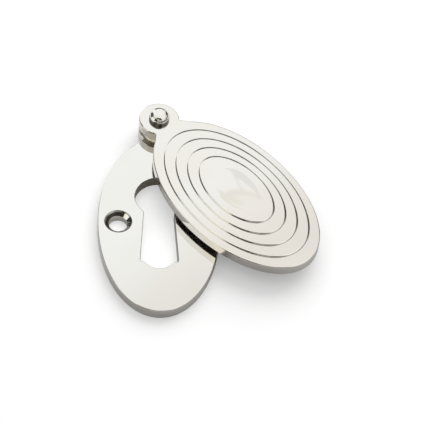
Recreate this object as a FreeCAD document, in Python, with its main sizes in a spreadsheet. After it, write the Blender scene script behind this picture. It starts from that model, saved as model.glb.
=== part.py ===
import FreeCAD, Part
import math
import os
import Sketcher
from FreeCAD import Placement, Rotation, Vector

# An oval keyhole escutcheon with a swinging cover, in solid brass: the back plate is screwed to the
# door over its keyhole, and the ringed cover turns aside on a rivet above it. The origin is midway
# between the two screw holes, on the plate's back face. +Z points out of the door and +Y towards the
# rivet. The cover is stored swung open, as it is held ready for the key.

NEAR = 1e-4
SAME_WIDTH = 0.05
UP = Vector(0, 0, 1)
# Sketches are drawn roughly, at these sizes, and then take their real ones from bound constraints.
ROUGH = 1.0
ROUGH_OVAL = (10.0, 20.0)

DRIVING_SIZES = [
    ("plate_width", 32.0, "width of the back plate's oval"),
    ("plate_length", 56.5, "length of the back plate's oval"),
    ("plate_thickness", 3.0, "back face to front face of the plate"),
    ("plate_lug_radius", 5.3, "round lug of the plate that carries the rivet"),
    ("plate_edge_round", 0.22, "polished-over edge round the plate's front and its keyhole"),
    ("pivot_distance", 31.6, "from the centre of either oval to the rivet's axis"),
    ("neck_drop", 3.5, "from the rivet's axis down to where the neck leaves its lug"),
    ("neck_foot_width", 12.0, "width of the neck where it runs out on its oval"),
    ("neck_round", 0.4, "inside corners of the neck"),
    ("keyhole_radius", 6.3, "round upper part of the keyhole"),
    ("keyhole_height", 8.4, "from the screw holes' line to the centre of the round part"),
    ("slot_neck_width", 7.9, "width of the keyhole's slot where it leaves the round part"),
    ("slot_foot_width", 9.9, "width of the slot at its shoulders"),
    ("slot_drop", 12.65, "from the screw holes' line down to the shoulders"),
    ("foot_radius", 4.5, "rounded end of the slot"),
    ("foot_drop", 14.8, "from the screw holes' line down to the end of the keyhole"),
    ("keyhole_corner_round", 0.4, "corners of the keyhole's outline"),
    ("screw_spacing", 21.3, "between the two screw holes"),
    ("screw_hole_diameter", 4.9, "clear hole for a countersunk wood screw"),
    ("countersink_diameter", 7.2, "mouth of the ninety-degree countersink"),
    ("countersink_rim_round", 0.25, "polished-over rim of the countersink"),
    ("washer_diameter", 9.0, "spacing washer between the two lugs"),
    ("washer_thickness", 1.5, "holds the cover off the plate's polished face"),
    ("cover_width", 32.0, "width of the cover's oval"),
    ("cover_length", 56.0, "length of the cover's oval"),
    ("cover_thickness", 2.8, "thickness of the cover at its rim and lug"),
    ("cover_lug_radius", 5.35, "round lug of the cover"),
    ("cover_edge_round", 0.28, "polished-over edge round the cover's face"),
    ("cover_back_round", 0.15, "eased edge round the cover's underside"),
    ("rim_side_width", 2.0, "plain rim at the cover's sides"),
    ("rim_end_width", 3.7, "plain rim at the cover's ends"),
    ("ring_rise", 0.43, "height of each ring above the one outside it"),
    ("ring_edge_round", 0.4, "polished-over outer edge of each ring"),
    ("crown_half_width", 4.7, "low oval dome in the middle, half its width"),
    ("crown_half_length", 8.2, "half the dome's length"),
    ("crown_rise", 0.42, "height of the dome above the innermost ring"),
    ("crown_foot_round", 3.0, "soft foot that runs the dome out on the innermost ring"),
    ("rivet_diameter", 3.0, "shank of the rivet"),
    ("rivet_head_diameter", 5.4, "head of the rivet"),
    ("rivet_head_height", 2.4, "head above the cover's lug"),
    ("rivet_head_round", 1.6, "round shoulder of the head"),
    ("rivet_tail_flare", 0.7, "peened tail, wider than the shank by this on each side and as deep"),
    ("turning_play", 0.05, "gap round the rivet in the parts that are loose on it"),
    ("axial_play", 0.03, "gap above and below the cover's lug"),
    ("open_angle", 39.0, "how far the cover is swung aside from closed"),
]
RING_COUNT = 4

doc = FreeCAD.newDocument("KeyholeEscutcheon")
sheet = doc.addObject("Spreadsheet::Sheet", "Sizes")
value = {}
for row, (alias, number, note) in enumerate(DRIVING_SIZES, start=1):
    sheet.set(f"A{row}", alias)
    sheet.set(f"B{row}", str(number))
    sheet.set(f"C{row}", note)
    sheet.setAlias(f"B{row}", alias)
    value[alias] = number
doc.recompute()

# Heights and reaches that several pieces share, worked out from the sheet.
COVER_BASE = "(Sizes.plate_thickness + Sizes.washer_thickness + Sizes.axial_play)"
HEAD_BASE = f"({COVER_BASE} + Sizes.cover_thickness + Sizes.axial_play)"
LOOSE_BORE = "(Sizes.rivet_diameter + 2 * Sizes.turning_play)"


def new_body(name):
    body = doc.addObject("PartDesign::Body", name)
    body.Label = name
    return body


def attach(feature, body):
    plane = next(item for item in body.Origin.OriginFeatures if item.Role == "XY_Plane")
    feature.AttachmentSupport = [(plane, "")]
    feature.MapMode = "FlatFace"


def bind_constraint(sketch, kind, elements, name, expression, rough=ROUGH):
    index = sketch.addConstraint(Sketcher.Constraint(kind, *elements, rough))
    sketch.renameConstraint(index, name)
    sketch.setExpression(f"Constraints.{name}", expression)


def new_sketch(body, name, level=None):
    sketch = body.newObject("Sketcher::SketchObject", name)
    attach(sketch, body)
    if level:
        sketch.setExpression("AttachmentOffset.Base.z", level)
    return sketch


def place_on_y_axis(sketch, geometry, expression):
    """Holds a centre on the sketch's Y axis, at a signed height if one is given."""
    if not expression:
        sketch.addConstraint(Sketcher.Constraint("Coincident", geometry, 3, -1, 1))
        return
    sketch.addConstraint(Sketcher.Constraint("PointOnObject", geometry, 3, -2))
    bind_constraint(sketch, "DistanceY", (-1, 1, geometry, 3), "centre", expression)


def circle_sketch(body, name, diameter, centre="", level=None):
    sketch = new_sketch(body, name, level)
    sketch.addGeometry(Part.Circle(Vector(0, 0, 0), UP, ROUGH), False)
    place_on_y_axis(sketch, 0, centre)
    bind_constraint(sketch, "Diameter", (0,), "across", diameter)
    return sketch


def oval_sketch(body, name, width, length, centre="", level=None):
    """An ellipse with its long axis along Y, which it keeps because it is drawn longer than wide."""
    sketch = new_sketch(body, name, level)
    half_width, half_length = ROUGH_OVAL
    ellipse = Part.Ellipse(Vector(0, half_length, 0), Vector(half_width, 0, 0), Vector(0, 0, 0))
    sketch.addGeometry(ellipse, False)
    sketch.exposeInternalGeometry(0)
    place_on_y_axis(sketch, 0, centre)
    sketch.addConstraint(Sketcher.Constraint("Vertical", 1))
    bind_constraint(sketch, "Distance", (1,), "long_axis", length, 2 * half_length)
    bind_constraint(sketch, "Distance", (2,), "short_axis", width, 2 * half_width)
    return sketch


def taper_sketch(body, name, low_width, low_height, high_width, high_height):
    """A trapezium across the Y axis, with its two level sides at signed heights."""
    sketch = new_sketch(body, name)
    corners = [Vector(x * ROUGH, y * ROUGH, 0) for x, y in ((-2, -1), (2, -1), (1, 1), (-1, 1))]
    for start, end in zip(corners, corners[1:] + corners[:1]):
        sketch.addGeometry(Part.LineSegment(start, end), False)
    for side in range(4):
        sketch.addConstraint(Sketcher.Constraint("Coincident", side, 2, (side + 1) % 4, 1))
    levels = ((0, "low", low_width, low_height), (2, "high", high_width, high_height))
    for side, which, width, height in levels:
        sketch.addConstraint(Sketcher.Constraint("Symmetric", side, 1, side, 2, -2))
        bind_constraint(sketch, "Distance", (side,), f"{which}_width", width)
        bind_constraint(sketch, "DistanceY", (-1, 1, side, 1), f"{which}_height", height)
    return sketch


def pad(body, sketch, length):
    feature = body.newObject("PartDesign::Pad", f"{sketch.Name}_pad")
    feature.Profile = sketch
    feature.setExpression("Length", length)
    doc.recompute()


def cut_through(body, sketch):
    """Cuts the sketch's outline up through the whole body."""
    before = body.Tip.Shape.Volume
    feature = body.newObject("PartDesign::Pocket", f"{sketch.Name}_cut")
    feature.Profile = sketch
    feature.Type = "ThroughAll"
    feature.Reversed = True
    doc.recompute()
    assert feature.Shape.Volume < before, f"{feature.Name} removed nothing"


def edge_names(shape, wanted):
    return [f"Edge{index}" for index, edge in enumerate(shape.Edges, start=1) if wanted(edge)]


def is_level(edge, height):
    """A dome's pole is an edge of no length, which lies at no level."""
    return not edge.Degenerated and all(abs(point.z - height) < NEAR for point in edge.discretize(5))


def is_closed(edge):
    return len(edge.Vertexes) == 1


def is_corner(shape, edge):
    """An upright edge where two faces meet, and not the seam of one round face."""
    first, *others = edge.discretize(5)
    upright = all(math.hypot(point.x - first.x, point.y - first.y) < NEAR for point in others)
    return upright and len(shape.ancestorsOfType(edge, Part.Face)) == 2


def dress(body, kind, name, wanted, size_name, expression):
    """Adds a fillet or a chamfer to the wanted edges of the body's last feature."""
    base = body.Tip
    edges = edge_names(base.Shape, wanted)
    assert edges, f"{name} found no edges"
    feature = body.newObject(f"PartDesign::{kind}", name)
    feature.Base = (base, edges)
    feature.setExpression(size_name, expression)
    doc.recompute()


def fillet(body, name, wanted, radius):
    dress(body, "Fillet", name, wanted, "Radius", radius)


def chamfer(body, name, wanted, size):
    dress(body, "Chamfer", name, wanted, "Size", size)


def add_outline(body, piece, centre):
    """The slab of the plate or the cover: its oval, its lug and the flared neck between them.

    The neck leaves the lug's circle at one height and runs out on the oval's edge at another.
    """
    width = f"Sizes.{piece}_width"
    length = f"Sizes.{piece}_length"
    lug_radius = f"Sizes.{piece}_lug_radius"
    thickness = f"Sizes.{piece}_thickness"
    lug_centre = f"({centre} + Sizes.pivot_distance)"
    pad(body, oval_sketch(body, f"{piece}_oval", width, length, centre), thickness)
    pad(body, circle_sketch(body, f"{piece}_lug", f"2 * {lug_radius}", lug_centre), thickness)
    neck = taper_sketch(
        body,
        f"{piece}_neck",
        "Sizes.neck_foot_width",
        f"{centre} + {length} / 2 * sqrt(1 - (Sizes.neck_foot_width / {width}) ^ 2)",
        f"2 * sqrt({lug_radius} ^ 2 - Sizes.neck_drop ^ 2)",
        f"{lug_centre} - Sizes.neck_drop",
    )
    pad(body, neck, thickness)


# Back plate: a cast and polished oval with a round lug at the top, the keyhole through its middle and
# a countersunk screw hole on each side. The rivet is pressed in the lug and spread in a flare behind.
plate = new_body("back_plate")
add_outline(plate, "plate", "0")
outline = plate.Tip.Shape
fillet(plate, "plate_neck_rounds", lambda edge: is_corner(outline, edge), "Sizes.neck_round")

# The keyhole is a round part, a slot that widens downwards, and a shallow arc below two shoulders.
cut_through(plate, circle_sketch(plate, "keyhole_round", "2 * Sizes.keyhole_radius", "Sizes.keyhole_height"))
# The slot's sides start on the round part's wall, where its half width meets the circle.
SLOT_NECK = "(Sizes.keyhole_height - sqrt(Sizes.keyhole_radius ^ 2 - (Sizes.slot_neck_width / 2) ^ 2))"
cut_through(
    plate,
    taper_sketch(
        plate, "keyhole_slot", "Sizes.slot_foot_width", "-Sizes.slot_drop", "Sizes.slot_neck_width", SLOT_NECK
    ),
)
FOOT_CENTRE = "Sizes.foot_radius - Sizes.foot_drop"
cut_through(plate, circle_sketch(plate, "keyhole_foot", "2 * Sizes.foot_radius", FOOT_CENTRE))
pierced = plate.Tip.Shape


def in_keyhole(edge):
    """The keyhole's corners all lie lower than the middle of its round part, unlike the neck's."""
    return is_corner(pierced, edge) and edge.CenterOfMass.y < value["keyhole_height"]


fillet(plate, "keyhole_corners", in_keyhole, "Sizes.keyhole_corner_round")

# Screw holes, each with its countersink.
holes = new_sketch(plate, "screw_holes")
for index, side in enumerate((-1, 1)):
    holes.addGeometry(Part.Circle(Vector(2 * ROUGH * side, 0, 0), UP, ROUGH), False)
    bind_constraint(holes, "Diameter", (index,), f"across_{index}", "Sizes.screw_hole_diameter")
holes.addConstraint(Sketcher.Constraint("Symmetric", 0, 3, 1, 3, -1, 1))
holes.addConstraint(Sketcher.Constraint("PointOnObject", 0, 3, -1))
bind_constraint(holes, "DistanceX", (0, 3, 1, 3), "spacing", "Sizes.screw_spacing")
cut_through(plate, holes)
front = value["plate_thickness"]
chamfer(
    plate,
    "countersinks",
    lambda edge: is_level(edge, front) and is_closed(edge),
    "(Sizes.countersink_diameter - Sizes.screw_hole_diameter) / 2",
)
fillet(
    plate,
    "countersink_rims",
    lambda edge: is_level(edge, front) and is_closed(edge),
    "Sizes.countersink_rim_round",
)

# Hole for the rivet, flared at the back for its tail.
cut_through(plate, circle_sketch(plate, "rivet_hole", "Sizes.rivet_diameter", "Sizes.pivot_distance"))
chamfer(
    plate,
    "rivet_flare",
    lambda edge: is_level(edge, 0) and is_closed(edge) and edge.CenterOfMass.y > value["keyhole_height"],
    "Sizes.rivet_tail_flare",
)
fillet(
    plate,
    "plate_edges",
    lambda edge: is_level(edge, front) and not is_closed(edge),
    "Sizes.plate_edge_round",
)

# Spacing washer: a plain turned ring round the rivet, between the two lugs.
washer = new_body("spacer_washer")
disc = circle_sketch(
    washer, "washer_disc", "Sizes.washer_diameter", "Sizes.pivot_distance", level="Sizes.plate_thickness"
)
pad(washer, disc, "Sizes.washer_thickness")
cut_through(washer, circle_sketch(washer, "washer_bore", LOOSE_BORE, "Sizes.pivot_distance"))

# Swing cover: a cast oval with a lug, and four rings that step up to a low dome in the middle. It is
# drawn about its own pivot, with its oval below it, and then turned to where it stands.
cover = new_body("swing_cover")
add_outline(cover, "cover", "-Sizes.pivot_distance")
blank = cover.Tip.Shape
fillet(cover, "cover_neck_rounds", lambda edge: is_corner(blank, edge), "Sizes.neck_round")
# The rings' treads share the space between the rim and the dome evenly, except the innermost: it has
# this share of the others' width, because the dome's soft foot runs out on it.
INNER_TREAD_SHARE = 1.13
TREAD_SHARES = RING_COUNT - 1 + INNER_TREAD_SHARE
SIDE_TREAD = f"(Sizes.cover_width / 2 - Sizes.rim_side_width - Sizes.crown_half_width) / {TREAD_SHARES}"
END_TREAD = f"(Sizes.cover_length / 2 - Sizes.rim_end_width - Sizes.crown_half_length) / {TREAD_SHARES}"
for ring in range(RING_COUNT):
    oval = oval_sketch(
        cover,
        f"ring_{ring + 1}",
        f"Sizes.cover_width - 2 * (Sizes.rim_side_width + {ring} * {SIDE_TREAD})",
        f"Sizes.cover_length - 2 * (Sizes.rim_end_width + {ring} * {END_TREAD})",
        "-Sizes.pivot_distance",
        level=f"Sizes.cover_thickness + {ring} * Sizes.ring_rise",
    )
    pad(cover, oval, "Sizes.ring_rise")

# The dome is the cap of an ellipsoid, with this share of its upright radius sunk in the cover, which
# makes it flat in the middle and steeper towards its foot. Its other two radii follow from the cap's
# size at the innermost ring.
CROWN_SUNK_SHARE = 0.31
CROWN_RADIUS = f"(Sizes.crown_rise / (1 - {CROWN_SUNK_SHARE}))"
CAP_SHARE = f"sqrt(1 - {CROWN_SUNK_SHARE} ^ 2)"
crown = cover.newObject("PartDesign::AdditiveEllipsoid", "crown")
attach(crown, cover)
crown.setExpression("Radius1", CROWN_RADIUS)
crown.setExpression("Radius2", f"Sizes.crown_half_width / {CAP_SHARE}")
crown.setExpression("Radius3", f"Sizes.crown_half_length / {CAP_SHARE}")
crown.setExpression("AttachmentOffset.Base.y", "-Sizes.pivot_distance")
crown.setExpression(
    "AttachmentOffset.Base.z",
    f"Sizes.cover_thickness + {RING_COUNT} * Sizes.ring_rise + Sizes.crown_rise - {CROWN_RADIUS}",
)
doc.recompute()


def ring_top(ring):
    return value["cover_thickness"] + (ring + 1) * value["ring_rise"]


def ring_half_width(ring):
    outermost = value["cover_width"] / 2 - value["rim_side_width"]
    return outermost - ring * (outermost - value["crown_half_width"]) / TREAD_SHARES


def is_ring_line(edge, height, half_width):
    """One of the cover's oval lines, told from the others by its height and width."""
    return is_level(edge, height) and abs(edge.BoundBox.XLength / 2 - half_width) < SAME_WIDTH


def is_ring_edge(edge):
    return any(is_ring_line(edge, ring_top(ring), ring_half_width(ring)) for ring in range(RING_COUNT))


fillet(
    cover,
    "crown_foot",
    lambda edge: is_ring_line(edge, ring_top(RING_COUNT - 1), value["crown_half_width"]),
    "Sizes.crown_foot_round",
)
fillet(cover, "ring_edges", is_ring_edge, "Sizes.ring_edge_round")
face_level = value["cover_thickness"]
fillet(
    cover,
    "cover_edges",
    lambda edge: is_level(edge, face_level) and not is_closed(edge),
    "Sizes.cover_edge_round",
)
fillet(
    cover,
    "cover_back_edges",
    lambda edge: is_level(edge, 0) and not is_closed(edge),
    "Sizes.cover_back_round",
)
cut_through(cover, circle_sketch(cover, "cover_bore", LOOSE_BORE))
cover.Placement = Placement(Vector(0, 0, 0), Rotation(UP, value["open_angle"]))
cover.setExpression("Placement.Base.y", "Sizes.pivot_distance")
cover.setExpression("Placement.Base.z", COVER_BASE)
cover.setExpression("Placement.Rotation.Angle", "Sizes.open_angle")

# Pivot pin: a turned rivet with a plain shank, a round-shouldered head over the cover's lug and a tail
# that is peened flush with the back of the plate.
pin = new_body("pivot_pin")
pad(pin, circle_sketch(pin, "shank", "Sizes.rivet_diameter"), HEAD_BASE)
tail = pin.newObject("PartDesign::AdditiveCone", "tail")
attach(tail, pin)
tail.setExpression("Radius1", "Sizes.rivet_diameter / 2 + Sizes.rivet_tail_flare")
tail.setExpression("Radius2", "Sizes.rivet_diameter / 2")
tail.setExpression("Height", "Sizes.rivet_tail_flare")
doc.recompute()
pad(pin, circle_sketch(pin, "head", "Sizes.rivet_head_diameter", level=HEAD_BASE), "Sizes.rivet_head_height")
head_top = pin.Tip.Shape.BoundBox.ZMax
fillet(pin, "head_shoulder", lambda edge: is_level(edge, head_top), "Sizes.rivet_head_round")
pin.setExpression("Placement.Base.y", "Sizes.pivot_distance")
doc.recompute()

for item in doc.Objects:
    faults = {"Invalid", "Error"} & set(item.State)
    assert not faults, f"{item.Label} is {', '.join(faults)}"

pieces = [plate, washer, cover, pin]
os.makedirs("parts", exist_ok=True)
for piece in pieces:
    assert not piece.Shape.isNull() and piece.Shape.isValid(), f"{piece.Label} has no valid shape"
    assert len(piece.Shape.Solids) == 1, f"{piece.Label} isn't one solid"
    piece.Shape.exportStep(os.path.join("parts", f"{piece.Label}.step"))
    print(f"{piece.Label}: {piece.Shape.Volume:.1f} cubic mm")
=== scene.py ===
import bpy
from math import cos, radians, sin
from mathutils import Matrix, Vector

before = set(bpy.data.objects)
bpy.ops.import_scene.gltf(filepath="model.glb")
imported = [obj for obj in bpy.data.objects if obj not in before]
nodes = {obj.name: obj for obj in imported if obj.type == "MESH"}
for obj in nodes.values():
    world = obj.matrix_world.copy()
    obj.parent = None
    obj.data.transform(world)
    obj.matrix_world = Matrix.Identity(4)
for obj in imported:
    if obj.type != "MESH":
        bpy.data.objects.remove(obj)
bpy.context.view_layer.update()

# Back plate. A cast brass oval, ground flat, nickel plated and buffed to a mirror on its face and edge.
# The walls of its keyhole carry painted shade, lighter in its slot, and its countersinks carry a painted
# dark reflection except on their right. Its back is only linished flat, and every face that points down
# is painted darker, as shade. It is screwed to the door through its two countersunk holes.
NICKEL = (0.80, 0.79, 0.768, 1)
NICKEL_WARM = (0.795, 0.772, 0.735, 1)
NICKEL_RUBBED = (0.86, 0.835, 0.79, 1)
# The next three colours are painted shade: on the keyhole's walls, on faces that point down, and in dark
# lines, patches and hollows.
KEYHOLE_PAINTED_SHADE = (0.33, 0.30, 0.25, 1)
PAINTED_UNDERSIDE_SHADE = (0.42, 0.40, 0.365, 1)
PAINTED_SHADE_DARK = (0.03, 0.026, 0.018, 1)
HAIR_DIRECTIONS = ((0.3, 2600), (-0.85, 3100), (1.35, 2200))
HAIR_ALONG, HAIR_DEEP = 60, 900
HAIR_CUT = (0.60, 0.74)
HAIR_DULLS = 0.8
CLOUD_SCALE, CLOUD_DETAIL, CLOUD_ROUGHNESS = 95.0, 4.0, 0.55
CLOUD_CUT = (0.36, 0.68)
FLECK_SCALE = 1700.0
FLECK_CUT = (0.62, 0.72)
SWELL_SCALE = 130.0
OFF_WALL = (0.08, 0.3)
OFF_FACE = (0.995, 0.93)
RAGGED_SCALE, RAGGED_DETAIL = 900.0, 3.0
RAGGED_CUT = (0.3, 0.62)
WALL_LEAN = (0.35, 0.1)
UNDER_SLOPE = (-0.6, -0.95)
CLOUD_TINT, EDGE_TINT, FLECK_TINT = 0.45, 0.6, 0.12
EDGE_DULLER, BACK_DULLER, KEYHOLE_SHADE_DULLER, PAINTED_SHADE_DULLER = 0.02, 0.28, 0.22, 0.3
BUMP_UNIT = 1e-6
KEYHOLE_REACH = (0.0066, 0.0152)
SLOT_LESS_SHADE = (0.001, 0.006, 0.4, 1.0)
SCREW_REACH = 0.01065
# A painted dark reflection in each countersink, weaker round its rim.
COUNTERSINK_SHADE_SIDE = (0.0014, 0.0011)
COUNTERSINK_SHADE_BAND = (0.0025, 0.0033, 0.00008)
RIM_BAND = (0.0033, 0.00368, 0.00005)
RIM_SHARE = 0.5
COUNTERSINK_SHADE_MOST = 0.95


def add(tree, kind, inputs=None, **settings):
    """Adds a node, sets it up, and feeds each named or numbered input from a socket or a value."""
    item = tree.nodes.new(kind)
    for name, setting in settings.items():
        setattr(item, name, setting)
    for key, source in (inputs or {}).items():
        if isinstance(source, bpy.types.NodeSocket):
            tree.links.new(source, item.inputs[key])
        else:
            item.inputs[key].default_value = source
    return item


def calc(tree, operation, *values, clamp=False):
    inputs = dict(enumerate(values))
    return add(tree, "ShaderNodeMath", inputs, operation=operation, use_clamp=clamp).outputs[0]


def vector_calc(tree, operation, *values):
    """A length or dot product comes out as a number, and any other result as a vector."""
    item = add(tree, "ShaderNodeVectorMath", dict(enumerate(values)), operation=operation)
    return item.outputs["Value" if operation in ("LENGTH", "DOT_PRODUCT") else "Vector"]


def object_place(tree):
    return add(tree, "ShaderNodeTexCoord").outputs["Object"]


def split(tree, vector):
    return add(tree, "ShaderNodeSeparateXYZ", {"Vector": vector}).outputs


def noise(tree, vector, scale, detail=2.0, **more):
    inputs = {"Vector": vector, "Scale": scale, "Detail": detail, **more}
    return add(tree, "ShaderNodeTexNoise", inputs).outputs["Fac"]


def ramp(tree, value, start, end, low=0.0, high=1.0):
    """A soft step of the value, from low at its start to high at its end."""
    inputs = {"Value": value, "From Min": start, "From Max": end, "To Min": low, "To Max": high}
    return add(tree, "ShaderNodeMapRange", inputs, interpolation_type="SMOOTHSTEP").outputs["Result"]


def between(tree, value, low, high, soft):
    """1 between low and high, with soft ends."""
    rising = ramp(tree, value, low - soft, low + soft)
    return calc(tree, "MULTIPLY", rising, ramp(tree, value, high + soft, high - soft))


def blend_colour(tree, mask, first, second):
    inputs = {"Factor": mask, 6: first, 7: second}
    return add(tree, "ShaderNodeMix", inputs, data_type="RGBA").outputs[2]


def new_group(name, inputs, outputs):
    """A shader node group with value inputs and outputs, and its two end nodes."""
    tree = bpy.data.node_groups.new(name, "ShaderNodeTree")
    for label in inputs:
        tree.interface.new_socket(label, in_out="INPUT", socket_type="NodeSocketFloat")
    for label in outputs:
        tree.interface.new_socket(label, in_out="OUTPUT", socket_type="NodeSocketFloat")
    return tree, tree.nodes.new("NodeGroupInput"), tree.nodes.new("NodeGroupOutput")


def place_group(tree, group, **inputs):
    item = tree.nodes.new("ShaderNodeGroup")
    item.node_tree = group
    for label, number in inputs.items():
        item.inputs[label].default_value = number
    return item.outputs


# Buffing leaves hair lines across each other, faint clouds of compound and a slow ripple in the metal.
buffing, entry, leave = new_group(
    "buffing_marks", ("Shine", "Haze", "Hair", "Ripple"), ("Roughness", "Height", "Clouds", "Flecks")
)
place = object_place(buffing)
hair = None
for turn, density in HAIR_DIRECTIONS:
    turned = {"Vector": place, "Rotation": (0, 0, turn), "Scale": (HAIR_ALONG, density, HAIR_DEEP)}
    turned = add(buffing, "ShaderNodeMapping", turned).outputs[0]
    sharp = ramp(buffing, noise(buffing, turned, 1.0), *HAIR_CUT)
    hair = sharp if hair is None else calc(buffing, "MAXIMUM", hair, sharp)
clouds = noise(buffing, place, CLOUD_SCALE, CLOUD_DETAIL, Roughness=CLOUD_ROUGHNESS)
cloud_mask = ramp(buffing, clouds, *CLOUD_CUT)
fleck_mask = ramp(buffing, noise(buffing, place, FLECK_SCALE), *FLECK_CUT)
swell = noise(buffing, place, SWELL_SCALE, 1.0)
haze = calc(buffing, "SUBTRACT", entry.outputs["Haze"], entry.outputs["Shine"])
roughness = calc(buffing, "MULTIPLY_ADD", cloud_mask, haze, entry.outputs["Shine"])
roughness = calc(buffing, "MULTIPLY_ADD", hair, calc(buffing, "MULTIPLY", haze, HAIR_DULLS), roughness)
height = calc(buffing, "MULTIPLY", swell, entry.outputs["Ripple"])
height = calc(buffing, "SUBTRACT", height, calc(buffing, "MULTIPLY", hair, entry.outputs["Hair"]))
results = {"Roughness": roughness, "Height": height, "Clouds": cloud_mask, "Flecks": fleck_mask}
for label, result in results.items():
    buffing.links.new(result, leave.inputs[label])

# The buffing wheel bears hardest on rounded edges, which lean between the flat faces and the walls. The same
# group gives the masks for walls and for faces that point down, where shade is painted.
edges, entry, leave = new_group("edge_wear_and_shade_masks", ("Ragged",), ("Edge", "Wall", "Under"))
slope = split(edges, add(edges, "ShaderNodeTexCoord").outputs["Normal"])[2]
lean = calc(edges, "ABSOLUTE", slope)
rounded = calc(edges, "MULTIPLY", ramp(edges, lean, *OFF_WALL), ramp(edges, lean, *OFF_FACE))
ragged = ramp(edges, noise(edges, object_place(edges), RAGGED_SCALE, RAGGED_DETAIL), *RAGGED_CUT)
wear_and_shade = calc(edges, "MULTIPLY", ragged, entry.outputs["Ragged"])
wear_and_shade = calc(edges, "SUBTRACT", rounded, calc(edges, "MULTIPLY", wear_and_shade, rounded), clamp=True)
edges.links.new(wear_and_shade, leave.inputs["Edge"])
edges.links.new(ramp(edges, lean, *WALL_LEAN), leave.inputs["Wall"])
edges.links.new(ramp(edges, slope, *UNDER_SLOPE), leave.inputs["Under"])


def nickel_finish(piece, base, warm, shine, haze, hair, ripple, ragged, shaded_wall_area=None, painted_shade=None):
    """Covers a piece with buffed nickel plate: bright faces, painted shade and more roughness on faces that
    point down, and where asked, painted shade on walls and in dark lines and patches.
    """
    material = bpy.data.materials.new(f"{piece.name}_finish")
    material.use_nodes = True
    tree = material.node_tree
    shader = tree.nodes["Principled BSDF"]
    shader.inputs["Metallic"].default_value = 1.0
    marks = place_group(tree, buffing, Shine=shine, Haze=haze, Hair=hair, Ripple=ripple)
    wear_and_shade = place_group(tree, edges, Ragged=ragged)
    colour = blend_colour(tree, calc(tree, "MULTIPLY", marks["Clouds"], CLOUD_TINT), base, warm)
    colour = blend_colour(tree, calc(tree, "MULTIPLY", wear_and_shade["Edge"], EDGE_TINT), colour, NICKEL_RUBBED)
    colour = blend_colour(tree, calc(tree, "MULTIPLY", marks["Flecks"], FLECK_TINT), colour, warm)
    # Every face that points down is painted darker, as shade, and made duller.
    colour = blend_colour(tree, wear_and_shade["Under"], colour, PAINTED_UNDERSIDE_SHADE)
    rough = calc(tree, "MULTIPLY_ADD", wear_and_shade["Edge"], EDGE_DULLER, marks["Roughness"])
    rough = calc(tree, "MULTIPLY_ADD", wear_and_shade["Under"], BACK_DULLER, rough)
    # Painted shade on the walls within the given area, and duller there.
    if shaded_wall_area:
        mask = calc(tree, "MULTIPLY", shaded_wall_area(tree), wear_and_shade["Wall"])
        colour = blend_colour(tree, mask, colour, KEYHOLE_PAINTED_SHADE)
        rough = calc(tree, "MULTIPLY_ADD", mask, KEYHOLE_SHADE_DULLER, rough)
    # Dark lines and patches of painted shade, where asked, and duller there.
    if painted_shade:
        mask = painted_shade(tree)
        colour = blend_colour(tree, mask, colour, PAINTED_SHADE_DARK)
        rough = calc(tree, "MULTIPLY_ADD", mask, PAINTED_SHADE_DULLER, rough)
    bump = add(tree, "ShaderNodeBump", {"Height": marks["Height"], "Distance": BUMP_UNIT, "Strength": 1.0})
    tree.links.new(colour, shader.inputs["Base Color"])
    tree.links.new(rough, shader.inputs["Roughness"])
    tree.links.new(bump.outputs["Normal"], shader.inputs["Normal"])
    for index in range(len(piece.data.materials)):
        piece.data.materials[index] = material


def inside_keyhole(tree):
    """1 within the keyhole's reach of the plate's middle, less in its slot, and else 0: where painted shade
    goes on the keyhole's walls.
    """
    place = split(tree, object_place(tree))
    masks = []
    for axis, reach in enumerate(KEYHOLE_REACH):
        masks.append(calc(tree, "LESS_THAN", calc(tree, "ABSOLUTE", place[axis]), reach))
    slot_lighter = ramp(tree, place[1], *SLOT_LESS_SHADE)
    return calc(tree, "MULTIPLY", calc(tree, "MULTIPLY", *masks), slot_lighter)


def in_countersinks(tree):
    """1 low in each countersink except on its right, and half that round its rim: a painted dark reflection.
    """
    place = split(tree, object_place(tree))
    outwards = calc(tree, "SUBTRACT", calc(tree, "ABSOLUTE", place[0]), SCREW_REACH)
    to_left = calc(tree, "MULTIPLY", outwards, calc(tree, "SIGN", place[0]))
    squared = [calc(tree, "POWER", side, 2.0) for side in (outwards, place[1])]
    reach = calc(tree, "SQRT", calc(tree, "ADD", *squared))
    countersink_shade = calc(tree, "MULTIPLY", ramp(tree, to_left, *COUNTERSINK_SHADE_SIDE), between(tree, reach, *COUNTERSINK_SHADE_BAND))
    rim = calc(tree, "MULTIPLY", between(tree, reach, *RIM_BAND), RIM_SHARE)
    return calc(tree, "MULTIPLY", calc(tree, "MAXIMUM", countersink_shade, rim), COUNTERSINK_SHADE_MOST)


nickel_finish(
    nodes["back_plate"], NICKEL, NICKEL_WARM, shine=0.05, haze=0.085, hair=0.05, ripple=1.6, ragged=0.5,
    shaded_wall_area=inside_keyhole, painted_shade=in_countersinks,
)

# Spacer washer. A ring turned from brass rod and barrel plated, so that it is duller than the cast
# pieces. It sits loose on the rivet between the two lugs and keeps the cover off the plate.
WASHER_TONE = (0.74, 0.70, 0.62, 1)
WASHER_WARM = (0.70, 0.63, 0.50, 1)
nickel_finish(
    nodes["spacer_washer"], WASHER_TONE, WASHER_WARM, shine=0.12, haze=0.22, hair=0.12, ripple=1.0, ragged=0.4
)

# Swing cover. A cast brass oval with four raised rings and a low dome, nickel plated and buffed by
# hand, which rounds its edges. It hangs from the rivet by its lug. Dark lines of painted shade lie at
# the foot of each ring on one side, and a faint band of painted shade lies low on the lug's edge.
COVER_TONE = (0.80, 0.775, 0.745, 1)
COVER_WARM = (0.795, 0.755, 0.71, 1)
OVAL_CENTRE = (0.019887, 0.007043, 0)
OVAL_TURN = radians(39)
RINGS = ((0.014, 0.0243), (0.011749, 0.0204), (0.009497, 0.016499), (0.007246, 0.012598))
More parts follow.
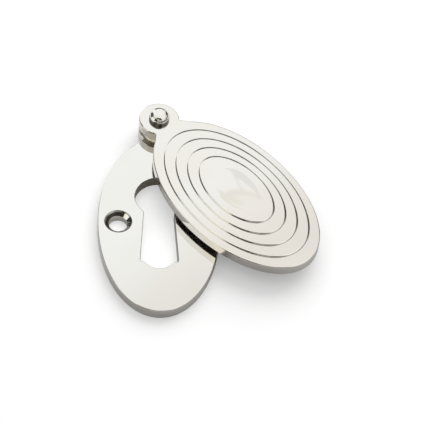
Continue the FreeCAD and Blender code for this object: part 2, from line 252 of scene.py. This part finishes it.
# The painted shade lines lie on the side of each ring that this direction points to.
SHADE_LINE_SIDE = Vector((cos(radians(24)), sin(radians(24)), 0))
SHADE_LINE_SIDE_FADE = (-0.12, 0.5)
WIDEST = Vector((cos(radians(44)), sin(radians(44)), 0))
MOST_WIDENED = 1.8
WIDENED_FADE = (0.72, 0.92, 1.0, MOST_WIDENED)
SHADE_LINE_FADE = (0.00026, 0.00012)
INNER_FADE = (-0.00025, -0.00005)
LINE_PATCHES = (420.0, (0.2, 0.55, 0.7, 0.97))
RIVET_CENTRE = (0, 0.0316, 0)
# Where the faint band of painted shade lies on the lug's edge, low down near the left and front.
LUG_WALL = (0.0053, 0.0068, 0.00005)
LUG_NEAR_SIDE = (0.0, -0.0045)
LUG_LEFT_SIDE = (0.0015, 0.0)
LUG_LOW_SHADE = (0.0073, 0.0069, 0.0, 0.35)


def patchy(tree, mask, place, scale, cut):
    """The mask, stronger and weaker in small patches."""
    return calc(tree, "MULTIPLY", mask, ramp(tree, noise(tree, place, scale), *cut))


def behind_rings(tree):
    """1 in the corner behind each ring, on one side, and 0 elsewhere: lines of painted shade."""
    place = object_place(tree)
    own = {"Vector": place, "Location": OVAL_CENTRE, "Rotation": (0, 0, OVAL_TURN)}
    own = add(tree, "ShaderNodeMapping", own, vector_type="TEXTURE").outputs[0]
    corner = None
    for half_width, half_length in RINGS:
        shrink = (1 / half_width, 1 / half_length, 0)
        inside = vector_calc(tree, "MULTIPLY", own, shrink)
        across = vector_calc(tree, "MULTIPLY", inside, shrink)
        reach = vector_calc(tree, "LENGTH", inside)
        steep = vector_calc(tree, "LENGTH", across)
        beyond = calc(tree, "MULTIPLY", calc(tree, "SUBTRACT", reach, 1.0), reach)
        beyond = calc(tree, "DIVIDE", beyond, steep)
        outward = vector_calc(tree, "NORMALIZE", across)
        along = vector_calc(tree, "DOT_PRODUCT", outward, SHADE_LINE_SIDE)
        far_side = vector_calc(tree, "DOT_PRODUCT", outward, WIDEST)
        widened = calc(tree, "DIVIDE", beyond, ramp(tree, far_side, *WIDENED_FADE))
        foot = ramp(tree, widened, *SHADE_LINE_FADE)
        foot = calc(tree, "MULTIPLY", foot, ramp(tree, beyond, *INNER_FADE))
        foot = calc(tree, "MULTIPLY", foot, ramp(tree, along, *SHADE_LINE_SIDE_FADE))
        corner = foot if corner is None else calc(tree, "MAXIMUM", corner, foot)
    return patchy(tree, corner, place, *LINE_PATCHES)


def painted_shade_on_cover(tree):
    """The painted shade lines behind the rings, and a thin band of painted shade low on the lug's edge."""
    place = object_place(tree)
    level = vector_calc(tree, "MULTIPLY", vector_calc(tree, "SUBTRACT", place, RIVET_CENTRE), (1, 1, 0))
    from_rivet = split(tree, level)
    lug_edge = between(tree, vector_calc(tree, "LENGTH", level), *LUG_WALL)
    lug_edge = calc(tree, "MULTIPLY", lug_edge, ramp(tree, from_rivet[1], *LUG_NEAR_SIDE))
    lug_edge = calc(tree, "MULTIPLY", lug_edge, ramp(tree, from_rivet[0], *LUG_LEFT_SIDE))
    lug_edge = calc(tree, "MULTIPLY", lug_edge, ramp(tree, split(tree, place)[2], *LUG_LOW_SHADE))
    return calc(tree, "MAXIMUM", behind_rings(tree), lug_edge)


nickel_finish(
    nodes["swing_cover"], COVER_TONE, COVER_WARM, shine=0.05, haze=0.09, hair=0.05, ripple=1.8, ragged=0.5,
    painted_shade=painted_shade_on_cover,
)

# Pivot pin. A turned brass rivet with a round-shouldered head, plated before it was pressed in and
# peened over behind the plate. The foot of the head's side carries painted shade, in patches.
PIN_TONE = (0.80, 0.78, 0.75, 1)
PIN_WARM = (0.78, 0.73, 0.65, 1)
# Painted shade at the foot of the head's side.
HEAD_FOOT = (0.0085, 0.0081)
HEAD_PATCHES = (700.0, (0.25, 0.6, 0.75, 0.95))


def below_shoulder(tree):
    """1 at the foot of the head's side, where shade is painted, and 0 on its shoulder and top."""
    place = object_place(tree)
    side = ramp(tree, split(tree, place)[2], *HEAD_FOOT)
    return patchy(tree, side, place, *HEAD_PATCHES)


nickel_finish(
    nodes["pivot_pin"], PIN_TONE, PIN_WARM, shine=0.045, haze=0.08, hair=0.04, ripple=0.6, ragged=0.3,
    painted_shade=below_shoulder,
)

# Floor. A plain white sheet under the object, which takes its soft shadow. Under the plate's openings
# it carries a painted pool of light, standing in for light that their polished walls throw down. Metal
# sees it as pale card, shaded in front of the object and lighter behind it.
FLOOR_HALF = 2.0
FLOOR_LEVEL = -0.00003
FLOOR_SEEN = (0.785, 0.785, 0.785, 1)
FLOOR_GLOW = 0.22
PAINTED_POOL_LIGHT = 0.17
UNDER_PLATE = (1 / 0.015, 1 / 0.024, 0)
PLATE_FADE = (1.0, 0.9)
FLOOR_MIRRORED_NEAR = (0.49, 0.48, 0.465, 1)
FLOOR_MIRRORED_FAR = (0.95, 0.94, 0.92, 1)
MIRRORED_FADE = (0.045, 0.16)
LIT_SIDE = (-0.6, 0.85, 0)
MOSTLY_LIT = 0.75
SHADED_FADE = (-0.10, -0.03, MOSTLY_LIT, 1.0)
FRONT_FADE = (-0.035, 0.025, 0.0, MOSTLY_LIT)
floor_mesh = bpy.data.meshes.new("floor")
corners = [(x * FLOOR_HALF, y * FLOOR_HALF, FLOOR_LEVEL) for x, y in ((-1, -1), (1, -1), (1, 1), (-1, 1))]
floor_mesh.from_pydata(corners, [], [(0, 1, 2, 3)])
floor = bpy.data.objects.new("floor", floor_mesh)
bpy.context.scene.collection.objects.link(floor)
floor_paint = bpy.data.materials.new("floor_paint")
floor_paint.use_nodes = True
tree = floor_paint.node_tree
seen = add(tree, "ShaderNodeBsdfDiffuse", {"Color": FLOOR_SEEN})
place = object_place(tree)
inside = vector_calc(tree, "LENGTH", vector_calc(tree, "MULTIPLY", place, UNDER_PLATE))
# A painted pool of light on the floor under the plate, on top of its even glow.
glow_with_painted_pool = ramp(tree, inside, *PLATE_FADE, FLOOR_GLOW, FLOOR_GLOW + PAINTED_POOL_LIGHT)
glow = add(tree, "ShaderNodeEmission", {"Strength": glow_with_painted_pool})
seen = add(tree, "ShaderNodeAddShader", {0: seen.outputs[0], 1: glow.outputs[0]})
far_off = ramp(tree, vector_calc(tree, "LENGTH", place), *MIRRORED_FADE)
aside = vector_calc(tree, "DOT_PRODUCT", place, LIT_SIDE)
lit = calc(tree, "MULTIPLY", far_off, ramp(tree, aside, *SHADED_FADE))
lit = calc(tree, "MAXIMUM", lit, ramp(tree, aside, *FRONT_FADE))
mirrored_tone = blend_colour(tree, lit, FLOOR_MIRRORED_NEAR, FLOOR_MIRRORED_FAR)
mirrored = add(tree, "ShaderNodeBsdfDiffuse", {"Color": mirrored_tone})
by_camera = add(tree, "ShaderNodeLightPath").outputs["Is Camera Ray"]
mixed = add(tree, "ShaderNodeMixShader", {0: by_camera, 1: mirrored.outputs[0], 2: seen.outputs[0]})
tree.links.new(mixed.outputs[0], tree.nodes["Material Output"].inputs["Surface"])
floor_mesh.materials.append(floor_paint)

# Studio. White sheets hang behind and above the object, a soft box stands on each side, and dim cards
# stand before it: that is what the metal mirrors, with dark gaps between them. Angles are in degrees,
# above the floor and round from the far side towards the right.
ROOM_DARK = 0.035
# name: (left, right, their softness), (low, high, their softness), brightness
BOXES = {
    "canopy": ((-112, 140, 5), (49, 120, 3), 1.11),
    "zenith": ((-400, 400, 1), (80, 120, 3), 1.05),
    "sheet": ((-40, 13, 5), (30, 60, 4), 1.11),
    "sheet_right": ((8, 37, 4), (40, 60, 5), 1.11),
    "left_drop": ((-40, -14, 3), (-12, 60, 4), 1.08),
    "middle_drop": ((4, 36, 6), (25, 60, 4), 0.97),
    "low_panel": ((20, 33, 4), (-4, 40, 4), 0.55),
    "right_shelf": ((36, 104, 4), (38, 60, 4), 1.05),
    "right_side": ((64, 112, 6), (17, 60, 4), 0.8),
    "right_tall": ((106, 144, 5), (11, 60, 3), 1.0),
    "left_box": ((-127, -87, 3), (-10, 34, 3), 1.12),
    "dim_left": ((-90, -38, 6), (31, 50, 4), 0.25),
    "dim_right": ((34, 66, 6), (29, 42, 4), 0.3),
    "near_right": ((130, 200, 5), (12, 40, 4), 0.6),
    "near_left": ((-200, -157, 5), (12, 40, 4), 0.6),
    "left_box_top": ((-117, -97, 4), (30, 60, 4), 0.75),
    "strip": ((-200, -104, 4), (49, 56, 1.5), 1.22),
}
CREAM = (0.99, 0.955, 0.83, 1)
CREAM_ACROSS = (-200, -104, 10)
COOL_WHITE = (0.985, 1.0, 0.985, 1)
WARM_GREY = (0.86, 0.842, 0.80, 1)
WARM_SLANT = 0.45
WARM_RISES = (54.7, 57.2)
WARM_FALLS = (57.5, 58.8, 1.0, 0.3)
OLIVE_GREY = (0.88, 0.885, 0.82, 1)
OLIVE_BAND = (59.2, 66.5, 2.2)
OLIVE_SIDE = (14.0, -2.0)
WHITE = (1, 1, 1, 1)
FILL = 0.70
world = bpy.data.worlds.new("studio")
bpy.context.scene.world = world
world.use_nodes = True
tree = world.node_tree
tree.nodes.clear()
direction = split(tree, add(tree, "ShaderNodeTexCoord").outputs["Generated"])
above = calc(tree, "DEGREES", calc(tree, "ARCSINE", direction[2]))
around = calc(tree, "DEGREES", calc(tree, "ARCTAN2", direction[0], direction[1]))
studio = None
for across, upright, brightness in BOXES.values():
    box = calc(tree, "MULTIPLY", between(tree, around, *across), between(tree, above, *upright))
    box = calc(tree, "MULTIPLY", box, brightness)
    studio = box if studio is None else calc(tree, "MAXIMUM", studio, box)
studio = calc(tree, "MAXIMUM", studio, ROOM_DARK)
diagonal = calc(tree, "MULTIPLY_ADD", around, WARM_SLANT, above)
warmed = calc(tree, "MULTIPLY", ramp(tree, diagonal, *WARM_RISES), ramp(tree, diagonal, *WARM_FALLS))
tint = blend_colour(tree, warmed, COOL_WHITE, WARM_GREY)
olive = calc(tree, "MULTIPLY", between(tree, above, *OLIVE_BAND), ramp(tree, around, *OLIVE_SIDE))
tint = blend_colour(tree, olive, tint, OLIVE_GREY)
tint = blend_colour(tree, between(tree, around, *CREAM_ACROSS), tint, CREAM)
mirror_light = add(tree, "ShaderNodeBackground", {"Color": tint, "Strength": studio}).outputs[0]
fill_light = add(tree, "ShaderNodeBackground", {"Color": WHITE, "Strength": FILL}).outputs[0]
plain_white = add(tree, "ShaderNodeBackground", {"Color": WHITE, "Strength": 1.0}).outputs[0]
rays = add(tree, "ShaderNodeLightPath").outputs
unseen = add(tree, "ShaderNodeMixShader", {0: rays["Is Glossy Ray"], 1: fill_light, 2: mirror_light})
shown = {0: rays["Is Camera Ray"], 1: unseen.outputs[0], 2: plain_white}
shown = add(tree, "ShaderNodeMixShader", shown).outputs[0]
tree.links.new(shown, add(tree, "ShaderNodeOutputWorld").inputs["Surface"])

# Lamp. One wide soft lamp behind the object, above it and to the right. The metal's reflections come
# from the studio above, so the lamp itself isn't mirrored.
LAMP_SIZE = 0.9
LAMP_PLACE = Vector((0.2, 0.52, 0.38))
LAMP_POWER = 4.2
lamp_data = bpy.data.lights.new("soft_lamp", "AREA")
lamp_data.shape = "DISK"
lamp_data.size = LAMP_SIZE
lamp_data.energy = LAMP_POWER
lamp = bpy.data.objects.new("soft_lamp", lamp_data)
lamp.location = LAMP_PLACE
lamp.rotation_mode = "QUATERNION"
lamp.rotation_quaternion = (-LAMP_PLACE).to_track_quat("-Z", "Y")
lamp.visible_glossy = False
bpy.context.scene.collection.objects.link(lamp)

# Camera. It looks down on the object from in front, from where the photograph was taken.
CAMERA_AZIMUTH = radians(-6.423)
CAMERA_ELEVATION = radians(52.135)
CAMERA_ROLL = radians(6.587)
CAMERA_DISTANCE = 0.58251
CAMERA_TARGET = Vector((0.013767, 0.006612, 0))
FOCAL_LENGTH = 188.78
CLIP_NEAR, CLIP_FAR = 0.01, 20
back = Vector((
    sin(CAMERA_AZIMUTH) * cos(CAMERA_ELEVATION),
    -cos(CAMERA_AZIMUTH) * cos(CAMERA_ELEVATION),
    sin(CAMERA_ELEVATION),
))
level_right = (-back).cross(Vector((0, 0, 1))).normalized()
level_up = level_right.cross(-back)
right = cos(CAMERA_ROLL) * level_right + sin(CAMERA_ROLL) * level_up
up = cos(CAMERA_ROLL) * level_up - sin(CAMERA_ROLL) * level_right
camera_data = bpy.data.cameras.new("camera")
camera_data.lens = FOCAL_LENGTH
camera_data.clip_start = CLIP_NEAR
camera_data.clip_end = CLIP_FAR
camera = bpy.data.objects.new("camera", camera_data)
turn = Matrix((right, up, back)).transposed().to_4x4()
camera.matrix_world = Matrix.Translation(CAMERA_TARGET + back * CAMERA_DISTANCE) @ turn
bpy.context.scene.collection.objects.link(camera)
bpy.context.scene.camera = camera
bpy.context.scene.view_settings.view_transform = "Standard"
